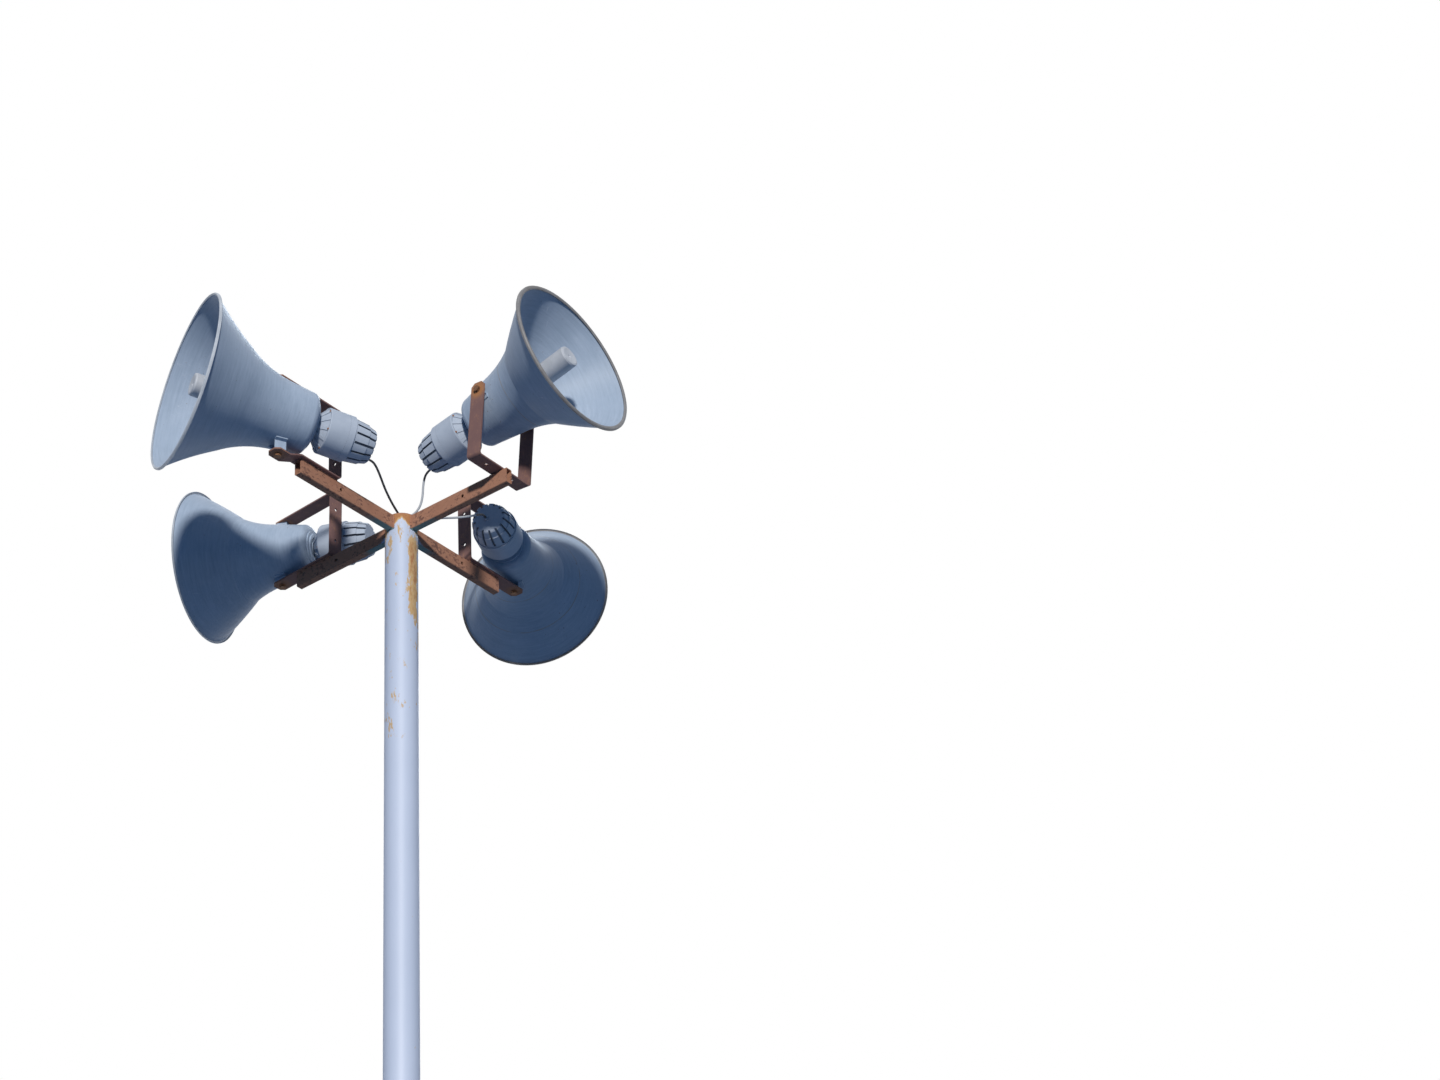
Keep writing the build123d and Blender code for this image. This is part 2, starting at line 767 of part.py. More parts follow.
# Leads: one round cable from each driver that shows one, down to the cable entry
for letter, route in lead_routes.items():
    points = [Vector(x, y, arm_top + z) for x, y, z in route]
    runs = [second - first for first, second in zip(points, points[1:])]
    bends = []
    for before, after in zip(runs, runs[1:]):
        half_turn = math.radians(before.get_angle(after)) / 2
        bends.append(0.45 * min(before.length, after.length) / math.tan(half_turn))
    print(f"lead_{letter} bend radii", [round(bend, 1) for bend in bends])
    with BuildPart() as lead:
        with BuildLine() as lead_path:
            FilletPolyline(*points, radius=bends)
        with BuildSketch(Plane(origin=points[0], z_dir=runs[0])):
            Circle(lead_diameter / 2)
        sweep(path=lead_path.wires()[0])
    section = math.pi * lead_diameter**2 / 4
    length = lead_path.wires()[0].length
    fullness = lead.part.volume / section / length
    print(f"lead_{letter} length {length:.1f}, volume over section by length {fullness:.4f}")
    lead.part.label = f"lead_{letter}"
    export_step(lead.part, f"parts/lead_{letter}.step")
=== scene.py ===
import bpy
import math
import random
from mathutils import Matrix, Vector


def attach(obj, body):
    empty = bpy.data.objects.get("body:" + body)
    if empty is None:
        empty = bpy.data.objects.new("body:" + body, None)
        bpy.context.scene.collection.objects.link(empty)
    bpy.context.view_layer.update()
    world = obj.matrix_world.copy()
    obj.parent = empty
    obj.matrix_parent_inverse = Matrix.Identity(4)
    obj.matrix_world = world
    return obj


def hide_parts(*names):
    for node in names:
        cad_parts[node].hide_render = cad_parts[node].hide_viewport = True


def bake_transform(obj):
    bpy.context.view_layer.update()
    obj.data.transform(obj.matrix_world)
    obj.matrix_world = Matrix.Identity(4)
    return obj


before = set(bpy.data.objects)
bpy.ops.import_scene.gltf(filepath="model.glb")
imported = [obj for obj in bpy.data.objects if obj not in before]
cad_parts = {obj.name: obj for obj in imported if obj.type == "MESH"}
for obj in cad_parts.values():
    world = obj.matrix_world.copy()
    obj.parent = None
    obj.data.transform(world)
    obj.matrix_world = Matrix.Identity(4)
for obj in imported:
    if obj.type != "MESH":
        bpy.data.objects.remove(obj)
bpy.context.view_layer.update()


class Wire:
    """A socket in a material, so that Python expressions build its maths, and node() adds the rest."""

    def __init__(self, tree, socket=None):
        self.tree = tree
        self.socket = socket

    def node(self, kind, settings=None, sockets=None, output=0):
        new = self.tree.nodes.new(kind)
        for name, value in (settings or {}).items():
            setattr(new, name, value)
        for name, value in (sockets or {}).items():
            if isinstance(value, Wire):
                self.tree.links.new(value.socket, new.inputs[name])
            else:
                new.inputs[name].default_value = value
        return Wire(self.tree, new.outputs[output])

    def maths(self, operation, *terms):
        return self.node("ShaderNodeMath", {"operation": operation}, dict(enumerate(terms)))

    def __add__(self, other):
        return self.maths("ADD", self, other)

    def __radd__(self, other):
        return self.maths("ADD", other, self)

    def __sub__(self, other):
        return self.maths("SUBTRACT", self, other)

    def __rsub__(self, other):
        return self.maths("SUBTRACT", other, self)

    def __mul__(self, other):
        return self.maths("MULTIPLY", self, other)

    def __rmul__(self, other):
        return self.maths("MULTIPLY", other, self)

    def __pow__(self, other):
        return self.maths("POWER", self, other)

    def __abs__(self):
        return self.maths("ABSOLUTE", self)


# Camera: at eye height in front of the pole and looking up at its head, with the object left of the
# middle. The light is one wide soft lamp from behind the camera, a weak one behind, and a cool fill.
camera_distance = 6.258
eye_height = 1.570
looking_up = 29.05
camera_data = bpy.data.cameras.new("camera")
camera_data.sensor_width = 36
camera_data.lens = 60.92
camera_data.shift_x = 0.2212
camera_data.shift_y = 0.1174
camera = bpy.data.objects.new("camera", camera_data)
camera.location = (0, -camera_distance, eye_height)
camera.rotation_euler = (math.radians(90 + looking_up), 0, 0)
bpy.context.scene.collection.objects.link(camera)
bpy.context.scene.camera = camera
bpy.context.scene.view_settings.view_transform = "Standard"

key_data = bpy.data.lights.new("key", "SUN")
key_data.energy = 2.95
key_data.angle = math.radians(4)
key_data.color = (1.0, 0.97, 0.93)
key = bpy.data.objects.new("key", key_data)
key.rotation_euler = Vector((0.03, 1.0, -0.24)).to_track_quat("-Z", "Y").to_euler()
bpy.context.scene.collection.objects.link(key)

back_data = bpy.data.lights.new("back", "SUN")
back_data.energy = 0.8
back_data.angle = math.radians(25)
back_data.color = (0.80, 0.90, 1.0)
back = bpy.data.objects.new("back", back_data)
back.rotation_euler = Vector((-0.25, -0.75, -0.6)).to_track_quat("-Z", "Y").to_euler()
bpy.context.scene.collection.objects.link(back)

world = bpy.data.worlds.new("studio")
bpy.context.scene.world = world
world.use_nodes = True
world.node_tree.nodes.clear()
sky = Wire(world.node_tree)
rays = world.node_tree.nodes.new("ShaderNodeLightPath")
camera_ray, glossy_ray, clear_ray = (Wire(world.node_tree, rays.outputs[name]) for name in
                                     ("Is Camera Ray", "Is Glossy Ray", "Is Transmission Ray"))
white_share = sky.maths("MINIMUM", camera_ray + glossy_ray + clear_ray, 1.0)
fill = sky.node("ShaderNodeBackground", None, {"Color": (0.17, 0.47, 1.0, 1), "Strength": 0.17})
white = sky.node("ShaderNodeBackground", None, {"Color": (1, 1, 1, 1), "Strength": 1.0})
both = sky.node("ShaderNodeMixShader", None, {0: white_share, 1: fill, 2: white})
world_out = world.node_tree.nodes.new("ShaderNodeOutputWorld")
world.node_tree.links.new(both.socket, world_out.inputs["Surface"])

floor_reach = 2
floor_corners = [(-floor_reach, -floor_reach, 0), (floor_reach, -floor_reach, 0),
                 (floor_reach, floor_reach, 0), (-floor_reach, floor_reach, 0)]
floor_data = bpy.data.meshes.new("floor")
floor_data.from_pydata(floor_corners, [], [(0, 1, 2, 3)])
floor = bpy.data.objects.new("floor", floor_data)
bpy.context.scene.collection.objects.link(floor)
floor_material = bpy.data.materials.new("floor")
floor_material.use_nodes = True
floor_material.node_tree.nodes["Principled BSDF"].inputs["Base Color"].default_value = (0.82, 0.82, 0.83, 1)
floor_material.node_tree.nodes["Principled BSDF"].inputs["Roughness"].default_value = 0.9
floor_data.materials.append(floor_material)


# Pole and base plate: a steel tube welded to a gusseted plate, brushed over with pale lavender-grey
# paint. Orange rust breaks through in flecks that thicken towards the arms, and in one long run on
# the right.
arms_top = 5.7
rust_starts = 4.6
rust_full = 5.62
run_side = 0.033
run_middle = 5.47
crown_starts = 5.68
pole_paint = bpy.data.materials.new("pole_paint")
pole_paint.use_nodes = True
wire = Wire(pole_paint.node_tree)
bsdf = pole_paint.node_tree.nodes["Principled BSDF"]
place = wire.node("ShaderNodeTexCoord", output="Object")
split = pole_paint.node_tree.nodes.new("ShaderNodeSeparateXYZ")
pole_paint.node_tree.links.new(place.socket, split.inputs[0])
x, y, z = (Wire(pole_paint.node_tree, split.outputs[axis]) for axis in range(3))
stretched = wire.node("ShaderNodeMapping", None, {"Vector": place, "Scale": (1.0, 1.0, 0.35)})
cloud = wire.node("ShaderNodeTexNoise", None,
                  {"Vector": stretched, "Scale": 9.0, "Detail": 5.0, "Roughness": 0.6})
flecks = wire.node("ShaderNodeTexNoise", None,
                   {"Vector": stretched, "Scale": 46.0, "Detail": 4.0, "Roughness": 0.62})
fine = wire.node("ShaderNodeTexNoise", None, {"Vector": place, "Scale": 210.0, "Detail": 3.0})
speckle = wire.node("ShaderNodeTexNoise", None,
                    {"Vector": stretched, "Scale": 170.0, "Detail": 4.0, "Roughness": 0.7})
near_top = wire.node("ShaderNodeMapRange", {"interpolation_type": "SMOOTHSTEP"},
                     {"Value": z, "From Min": rust_starts, "From Max": rust_full,
                      "To Min": 0.0, "To Max": 0.105})
edge_side = wire.node("ShaderNodeMapRange", None,
                      {"Value": abs(x - 0.004), "From Min": 0.0, "From Max": 0.05,
                       "To Min": -0.03, "To Max": 0.035})
run_line = wire.node("ShaderNodeMapRange", {"interpolation_type": "SMOOTHSTEP"},
                     {"Value": abs(x - run_side + (cloud - 0.5) * 0.03),
                      "From Min": 0.024, "From Max": 0.006})
run_span = wire.node("ShaderNodeMapRange", {"interpolation_type": "SMOOTHSTEP"},
                     {"Value": abs(z - run_middle + (flecks - 0.5) * 0.1),
                      "From Min": 0.18, "From Max": 0.12})
front = wire.node("ShaderNodeMapRange", None, {"Value": y, "From Min": 0.0, "From Max": -0.02})
run = run_line * run_span * front * 0.20
crown = wire.node("ShaderNodeMapRange", {"interpolation_type": "SMOOTHSTEP"},
                  {"Value": z + abs(x) * 0.9 + (cloud - 0.5) * 0.05,
                   "From Min": crown_starts, "From Max": arms_top})
rust_level = (flecks * 0.62 + speckle * 0.38 + near_top + edge_side * near_top * 6 + run + crown * 0.3
              + (cloud - 0.5) * 0.35)
rust_share = wire.node("ShaderNodeMapRange", {"interpolation_type": "SMOOTHSTEP"},
                       {"Value": rust_level, "From Min": 0.655, "From Max": 0.72})
core_share = wire.node("ShaderNodeMapRange", {"interpolation_type": "SMOOTHSTEP"},
                       {"Value": rust_level, "From Min": 0.75, "From Max": 0.90})
paint_tone = wire.node("ShaderNodeMix", {"data_type": "RGBA"},
                       {0: cloud, 6: (0.49, 0.56, 0.70, 1), 7: (0.58, 0.65, 0.80, 1)}, 2)
orange = wire.node("ShaderNodeMix", {"data_type": "RGBA"},
                   {0: core_share, 6: (0.60, 0.40, 0.19, 1), 7: (0.42, 0.19, 0.075, 1)}, 2)
tone = wire.node("ShaderNodeMix", {"data_type": "RGBA"}, {0: rust_share, 6: paint_tone, 7: orange}, 2)
bump = wire.node("ShaderNodeBump", None,
                 {"Height": fine * 0.25 + rust_share * 0.6 + cloud * 0.3,
                  "Strength": 0.18, "Distance": 0.002})
pole_paint.node_tree.links.new(tone.socket, bsdf.inputs["Base Color"])
pole_paint.node_tree.links.new((rust_share * 0.32 + 0.5).socket, bsdf.inputs["Roughness"])
pole_paint.node_tree.links.new(bump.socket, bsdf.inputs["Normal"])
for node in ("pole", "base_plate"):
    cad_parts[node].data.materials.clear()
    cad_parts[node].data.materials.append(pole_paint)


# Cap, cable entry and arms: a steel disc and four box sections, cut, coped and welded on bare and
# never painted but for overspray at their roots. The steel is brown with rust and mottled dark, and
# grey-green under the roots. The entry is a black rubber gland with grey dust on it.
spray_level = 5.66
underside_starts = 5.6512
underside_full = 5.6504
arm_steel = bpy.data.materials.new("rusty_arms")
arm_steel.use_nodes = True
wire = Wire(arm_steel.node_tree)
bsdf = arm_steel.node_tree.nodes["Principled BSDF"]
place = wire.node("ShaderNodeTexCoord", output="Object")
split = arm_steel.node_tree.nodes.new("ShaderNodeSeparateXYZ")
arm_steel.node_tree.links.new(place.socket, split.inputs[0])
x, y, z = (Wire(arm_steel.node_tree, split.outputs[axis]) for axis in range(3))
reach = (x * x + y * y) ** 0.5
cloud = wire.node("ShaderNodeTexNoise", None,
                  {"Vector": place, "Scale": 17.0, "Detail": 6.0, "Roughness": 0.62})
flat = wire.node("ShaderNodeMapping", None, {"Vector": place, "Scale": (1.0, 1.0, 1.5)})
blotch = wire.node("ShaderNodeTexNoise", None,
                   {"Vector": flat, "Scale": 75.0, "Detail": 6.0, "Roughness": 0.72})
grain = wire.node("ShaderNodeTexNoise", None,
                  {"Vector": place, "Scale": 420.0, "Detail": 4.0, "Roughness": 0.7})
tone = wire.node("ShaderNodeMix", {"data_type": "RGBA"},
                 {0: cloud, 6: (0.27, 0.125, 0.080, 1), 7: (0.56, 0.29, 0.185, 1)}, 2)
dark_share = wire.node("ShaderNodeMapRange", {"interpolation_type": "SMOOTHSTEP"},
                       {"Value": blotch * 0.6 + cloud * 0.4, "From Min": 0.51, "From Max": 0.60})
tone = wire.node("ShaderNodeMix", {"data_type": "RGBA"},
                 {0: dark_share * 0.75, 6: tone, 7: (0.085, 0.045, 0.042, 1)}, 2)
overspray = wire.node("ShaderNodeMapRange", {"interpolation_type": "SMOOTHSTEP"},
                      {"Value": reach + (cloud - 0.5) * 0.07 - y * 0.35 + (z - spray_level) * 0.9,
                       "From Min": 0.060, "From Max": 0.046})
tone = wire.node("ShaderNodeMix", {"data_type": "RGBA"}, {0: overspray, 6: tone, 7: (0.50, 0.57, 0.72, 1)}, 2)
below = wire.node("ShaderNodeMapRange", None,
                  {"Value": z, "From Min": underside_starts, "From Max": underside_full})
rootward = wire.node("ShaderNodeMapRange", {"interpolation_type": "SMOOTHSTEP"},
                     {"Value": reach + (cloud - 0.5) * 0.12, "From Min": 0.17, "From Max": 0.10})
tone = wire.node("ShaderNodeMix", {"data_type": "RGBA"},
                 {0: below * rootward, 6: tone, 7: (0.19, 0.27, 0.26, 1)}, 2)
bump = wire.node("ShaderNodeBump", None,
                 {"Height": grain * 0.6 + blotch, "Strength": 0.35, "Distance": 0.0015})
arm_steel.node_tree.links.new(tone.socket, bsdf.inputs["Base Color"])
arm_steel.node_tree.links.new((cloud * 0.2 + 0.68).socket, bsdf.inputs["Roughness"])
bsdf.inputs["Specular IOR Level"].default_value = 0.15
arm_steel.node_tree.links.new(bump.socket, bsdf.inputs["Normal"])
for node in ("pole_cap", "arm_a", "arm_b", "arm_c", "arm_d"):
    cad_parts[node].data.materials.clear()
    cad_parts[node].data.materials.append(arm_steel)

entry_rubber = bpy.data.materials.new("entry_rubber")
entry_rubber.use_nodes = True
wire = Wire(entry_rubber.node_tree)
bsdf = entry_rubber.node_tree.nodes["Principled BSDF"]
place = wire.node("ShaderNodeTexCoord", output="Object")
dust = wire.node("ShaderNodeTexNoise", None, {"Vector": place, "Scale": 90.0, "Detail": 4.0})
tone = wire.node("ShaderNodeMix", {"data_type": "RGBA"},
                 {0: dust, 6: (0.018, 0.018, 0.021, 1), 7: (0.075, 0.072, 0.07, 1)}, 2)
entry_rubber.node_tree.links.new(tone.socket, bsdf.inputs["Base Color"])
bsdf.inputs["Roughness"].default_value = 0.8
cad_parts["cable_entry"].data.materials.clear()
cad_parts["cable_entry"].data.materials.append(entry_rubber)


# Brackets: flat steel strip, 50 by 5 mm, bent cold into a U with clipped tips and welded on. Dark
# purple-brown rust, with orange round the bolts, strongest on the one that stands, and in patches.
for letter, halo_share, bolts in (
    ("a", 0.35, [(-0.3614, -0.3972, 5.941), (-0.3614, -0.3972, 5.683)]),
    ("b", 0.7, [(0.382, -0.195, 5.934), (0.230, -0.362, 5.934)]),
    ("c", 0.35, [(-0.3804, 0.3639, 5.929), (-0.3804, 0.3639, 5.705)]),
    ("d", 0.35, [(0.3620, 0.4007, 5.937), (0.3620, 0.4007, 5.705)]),
):
    strip = bpy.data.materials.new(f"rusty_strip_{letter}")
    strip.use_nodes = True
    wire = Wire(strip.node_tree)
    bsdf = strip.node_tree.nodes["Principled BSDF"]
    place = wire.node("ShaderNodeTexCoord", output="Object")
    cloud = wire.node("ShaderNodeTexNoise", None,
                      {"Vector": place, "Scale": 13.0, "Detail": 5.0, "Roughness": 0.6})
    mottle = wire.node("ShaderNodeTexNoise", None,
                       {"Vector": place, "Scale": 60.0, "Detail": 6.0, "Roughness": 0.7})
    grain = wire.node("ShaderNodeTexNoise", None, {"Vector": place, "Scale": 500.0, "Detail": 3.0})
    halo = None
    for bolt in bolts:
        away = wire.node("ShaderNodeVectorMath", {"operation": "DISTANCE"}, {0: place, 1: bolt}, "Value")
        ring = wire.node("ShaderNodeMapRange", {"interpolation_type": "SMOOTHSTEP"},
                         {"Value": away + (cloud - 0.5) * 0.03, "From Min": 0.042, "From Max": 0.016})
        halo = ring if halo is None else halo.maths("MAXIMUM", halo, ring)
    tone = wire.node("ShaderNodeMix", {"data_type": "RGBA"},
                     {0: cloud, 6: (0.130, 0.078, 0.085, 1), 7: (0.300, 0.165, 0.135, 1)}, 2)
    bright = wire.node("ShaderNodeMapRange", {"interpolation_type": "SMOOTHSTEP"},
                       {"Value": mottle * 0.6 + cloud * 0.4, "From Min": 0.53, "From Max": 0.66})
    tone = wire.node("ShaderNodeMix", {"data_type": "RGBA"},
                     {0: bright * 0.5, 6: tone, 7: (0.44, 0.235, 0.13, 1)}, 2)
    tone = wire.node("ShaderNodeMix", {"data_type": "RGBA"},
                     {0: halo * halo_share, 6: tone, 7: (0.50, 0.22, 0.075, 1)}, 2)
    bump = wire.node("ShaderNodeBump", None,
                     {"Height": grain * 0.4 + mottle, "Strength": 0.3, "Distance": 0.001})
    strip.node_tree.links.new(tone.socket, bsdf.inputs["Base Color"])
    strip.node_tree.links.new((cloud * 0.25 + 0.55).socket, bsdf.inputs["Roughness"])
    bsdf.inputs["Specular IOR Level"].default_value = 0.15
    strip.node_tree.links.new(bump.socket, bsdf.inputs["Normal"])
    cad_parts[f"bracket_{letter}"].data.materials.clear()
    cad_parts[f"bracket_{letter}"].data.materials.append(strip)


# Pivot bolts: M10 hexagon bolts, washers and nuts in plain steel, rusted dark brown all over with
# brighter orange in patches.
bolt_steel = bpy.data.materials.new("rusty_bolts")
bolt_steel.use_nodes = True
wire = Wire(bolt_steel.node_tree)
bsdf = bolt_steel.node_tree.nodes["Principled BSDF"]
place = wire.node("ShaderNodeTexCoord", output="Object")
cloud = wire.node("ShaderNodeTexNoise", None,
                  {"Vector": place, "Scale": 110.0, "Detail": 5.0, "Roughness": 0.7})
tone = wire.node("ShaderNodeMix", {"data_type": "RGBA"},
                 {0: cloud ** 2.0 * 1.6, 6: (0.045, 0.026, 0.022, 1), 7: (0.36, 0.155, 0.055, 1)}, 2)
bump = wire.node("ShaderNodeBump", None, {"Height": cloud, "Strength": 0.5, "Distance": 0.001})
bolt_steel.node_tree.links.new(tone.socket, bsdf.inputs["Base Color"])
bolt_steel.node_tree.links.new((cloud * 0.3 + 0.5).socket, bsdf.inputs["Roughness"])
bolt_steel.node_tree.links.new(bump.socket, bsdf.inputs["Normal"])
for letter in "abcd":
    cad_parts[f"pivot_bolts_{letter}"].data.materials.clear()
    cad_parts[f"pivot_bolts_{letter}"].data.materials.append(bolt_steel)


# Horns: bells of spun aluminium sheet with a rolled lip, sprayed blue-grey. The paint keeps the fine
# rings of the spinning, and has thin scratches and brown specks. Two bells show broken tan seams.
horn_axes = {}
for letter, mouth, heading, nod, seams in (
    ("a", (-0.6307, -0.5211, 5.8486), -155.3, 5.9, ()),
    ("b", (0.5091, -0.4632, 5.9797), -42.3, 9.4, (0.196,)),
    ("c", (-0.6386, 0.4661, 5.8311), 158.4, 2.7, ()),
    ("d", (0.4439, 0.6652, 5.8427), 72.8, 5.1, (0.10, 0.205)),
):
    turned = math.radians(heading)
    raised = math.radians(nod)
    forward = Vector((math.cos(raised) * math.cos(turned), math.cos(raised) * math.sin(turned),
                      math.sin(raised)))
    side = Vector((0, 0, 1)).cross(forward).normalized()
    up = forward.cross(side)
    horn_axes[letter] = (Vector(mouth), forward, side, up)

    paint = bpy.data.materials.new(f"horn_paint_{letter}")
    paint.use_nodes = True
    wire = Wire(paint.node_tree)
    bsdf = paint.node_tree.nodes["Principled BSDF"]
    place = wire.node("ShaderNodeTexCoord", output="Object")
    off = wire.node("ShaderNodeVectorMath", {"operation": "SUBTRACT"}, {0: place, 1: mouth}, "Vector")
    back, across, rise = (
        wire.node("ShaderNodeVectorMath", {"operation": "DOT_PRODUCT"},
                  {0: off, 1: tuple(direction)}, "Value")
        for direction in (-forward, side, up)
    )
    turn = across.maths("ARCTAN2", across, rise)
    ringwise = wire.node("ShaderNodeCombineXYZ", None,
                         {0: back * 150.0, 1: turn.maths("SINE", turn) * 2.0,
                          2: turn.maths("COSINE", turn) * 2.0})
    rings = wire.node("ShaderNodeTexNoise", None,
                      {"Vector": ringwise, "Scale": 1.0, "Detail": 6.0, "Roughness": 0.75})
    cloud = wire.node("ShaderNodeTexNoise", None,
                      {"Vector": place, "Scale": 6.0, "Detail": 5.0, "Roughness": 0.6})
    specks = wire.node("ShaderNodeTexNoise", None,
                       {"Vector": place, "Scale": 120.0, "Detail": 2.0, "Roughness": 0.5})
    scratch_place = wire.node("ShaderNodeCombineXYZ", None,
                              {0: back * 30.0 + cloud * 4.0, 1: turn * 14.0 + cloud * 5.0, 2: 0.0})
    scratches = wire.node("ShaderNodeTexNoise", {"noise_dimensions": "2D"},
                          {"Vector": scratch_place, "Scale": 0.55, "Detail": 1.0, "Roughness": 0.4})
    tone = wire.node("ShaderNodeMix", {"data_type": "RGBA"},
                     {0: cloud * 0.7 + rings * 1.1 - 0.4,
                      6: (0.25, 0.33, 0.43, 1), 7: (0.48, 0.565, 0.69, 1)}, 2)
    speck_share = wire.node("ShaderNodeMapRange", {"interpolation_type": "SMOOTHSTEP"},
                            {"Value": specks + (cloud - 0.5) * 0.25, "From Min": 0.735, "From Max": 0.775})
    tone = wire.node("ShaderNodeMix", {"data_type": "RGBA"},
                     {0: speck_share * 0.75, 6: tone, 7: (0.16, 0.11, 0.085, 1)}, 2)
    scratch_share = wire.node("ShaderNodeMapRange", {"interpolation_type": "SMOOTHSTEP"},
                              {"Value": abs(scratches - 0.5), "From Min": 0.0045, "From Max": 0.0015})
    scratch_zone = wire.node("ShaderNodeMapRange", None, {"Value": cloud, "From Min": 0.52, "From Max": 0.60})
    tone = wire.node("ShaderNodeMix", {"data_type": "RGBA"},
                     {0: scratch_share * scratch_zone * 0.5, 6: tone, 7: (0.66, 0.70, 0.78, 1)}, 2)
    for seam in seams:
        line = wire.node("ShaderNodeMapRange", {"interpolation_type": "SMOOTHSTEP"},
                         {"Value": abs(back - seam + (cloud - 0.5) * 0.010),
                          "From Min": 0.0018, "From Max": 0.0006})
        broken = wire.node("ShaderNodeMapRange", None, {"Value": rings, "From Min": 0.42, "From Max": 0.52})
        tone = wire.node("ShaderNodeMix", {"data_type": "RGBA"},
                         {0: line * broken * 0.7, 6: tone, 7: (0.36, 0.29, 0.20, 1)}, 2)
    bump = wire.node("ShaderNodeBump", None,
                     {"Height": rings + scratch_share * scratch_zone,
                      "Strength": 0.10, "Distance": 0.001})
    paint.node_tree.links.new(tone.socket, bsdf.inputs["Base Color"])
    paint.node_tree.links.new((rings * 0.22 + 0.36).socket, bsdf.inputs["Roughness"])
    bsdf.inputs["Specular IOR Level"].default_value = 0.2
    paint.node_tree.links.new(bump.socket, bsdf.inputs["Normal"])
    for node in (f"bell_{letter}", f"horn_back_{letter}", f"lugs_{letter}"):
        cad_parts[node].data.materials.clear()
        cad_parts[node].data.materials.append(paint)


# Rims: the rolled edge of each bell. Two have worn through to dull grey metal with brown dirt in it,
# and the other two keep most of their pale paint.
for name, letters, dull, bright in (("rim_worn", "bd", (0.105, 0.095, 0.09, 1), (0.27, 0.275, 0.29, 1)),
                                    ("rim_painted", "ac", (0.30, 0.34, 0.39, 1), (0.60, 0.64, 0.70, 1))):
    rim_metal = bpy.data.materials.new(name)
    rim_metal.use_nodes = True
    wire = Wire(rim_metal.node_tree)
    bsdf = rim_metal.node_tree.nodes["Principled BSDF"]
    place = wire.node("ShaderNodeTexCoord", output="Object")
    cloud = wire.node("ShaderNodeTexNoise", None,
                      {"Vector": place, "Scale": 14.0, "Detail": 6.0, "Roughness": 0.7})
    tone = wire.node("ShaderNodeMix", {"data_type": "RGBA"}, {0: cloud * 1.8 - 0.4, 6: dull, 7: bright}, 2)
    rim_metal.node_tree.links.new(tone.socket, bsdf.inputs["Base Color"])
    rim_metal.node_tree.links.new((cloud * 0.3 + 0.4).socket, bsdf.inputs["Roughness"])
    bsdf.inputs["Metallic"].default_value = 0.25
    for letter in letters:
        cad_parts[f"rim_{letter}"].data.materials.clear()
        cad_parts[f"rim_{letter}"].data.materials.append(rim_metal)


# Reflector cups: cast cups on three fins in front of each throat, in whiter paint that is chalky and
# marked with grey dust.
cup_paint = bpy.data.materials.new("cup_paint")
cup_paint.use_nodes = True
wire = Wire(cup_paint.node_tree)
bsdf = cup_paint.node_tree.nodes["Principled BSDF"]
place = wire.node("ShaderNodeTexCoord", output="Object")
cloud = wire.node("ShaderNodeTexNoise", None,
                  {"Vector": place, "Scale": 30.0, "Detail": 5.0, "Roughness": 0.6})
tone = wire.node("ShaderNodeMix", {"data_type": "RGBA"},
                 {0: cloud, 6: (0.40, 0.43, 0.47, 1), 7: (0.64, 0.67, 0.72, 1)}, 2)
cup_paint.node_tree.links.new(tone.socket, bsdf.inputs["Base Color"])
cup_paint.node_tree.links.new((cloud * 0.2 + 0.5).socket, bsdf.inputs["Roughness"])
for letter in "abcd":
    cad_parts[f"reflector_cup_{letter}"].data.materials.clear()
    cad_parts[f"reflector_cup_{letter}"].data.materials.append(cup_paint)


# Drivers: die-cast housings screwed on the horns' collars, in light grey-blue paint that is rough to
# the touch. Shade is painted dark between the ribs and fins and in the seam by the flange.
driver_paint = bpy.data.materials.new("driver_paint")
driver_paint.use_nodes = True
wire = Wire(driver_paint.node_tree)
bsdf = driver_paint.node_tree.nodes["Principled BSDF"]
place = wire.node("ShaderNodeTexCoord", output="Object")
cloud = wire.node("ShaderNodeTexNoise", None,
                  {"Vector": place, "Scale": 22.0, "Detail": 5.0, "Roughness": 0.6})
grain = wire.node("ShaderNodeTexNoise", None, {"Vector": place, "Scale": 380.0, "Detail": 3.0})
openness = wire.node("ShaderNodeAmbientOcclusion", {"samples": 6}, {"Distance": 0.012}, "AO")
tone = wire.node("ShaderNodeMix", {"data_type": "RGBA"},
                 {0: cloud, 6: (0.37, 0.43, 0.52, 1), 7: (0.53, 0.59, 0.68, 1)}, 2)
# painted shade: the paint turns near-black where ambient occlusion finds the housing closed in, between ribs
# and fins and at the flange seam
painted_recess_shade = wire.node("ShaderNodeMapRange", None, {"Value": openness, "From Min": 0.75, "From Max": 0.25})
tone = wire.node("ShaderNodeMix", {"data_type": "RGBA"},
                 {0: painted_recess_shade * 0.8, 6: tone, 7: (0.06, 0.065, 0.075, 1)}, 2)
bump = wire.node("ShaderNodeBump", None, {"Height": grain, "Strength": 0.2, "Distance": 0.0006})
driver_paint.node_tree.links.new(tone.socket, bsdf.inputs["Base Color"])
driver_paint.node_tree.links.new((cloud * 0.15 + 0.55).socket, bsdf.inputs["Roughness"])
bsdf.inputs["Specular IOR Level"].default_value = 0.2
driver_paint.node_tree.links.new(bump.socket, bsdf.inputs["Normal"])
for letter in "abcd":
    for node in (f"driver_front_{letter}", f"driver_tail_{letter}"):
        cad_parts[node].data.materials.clear()
        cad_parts[node].data.materials.append(driver_paint)


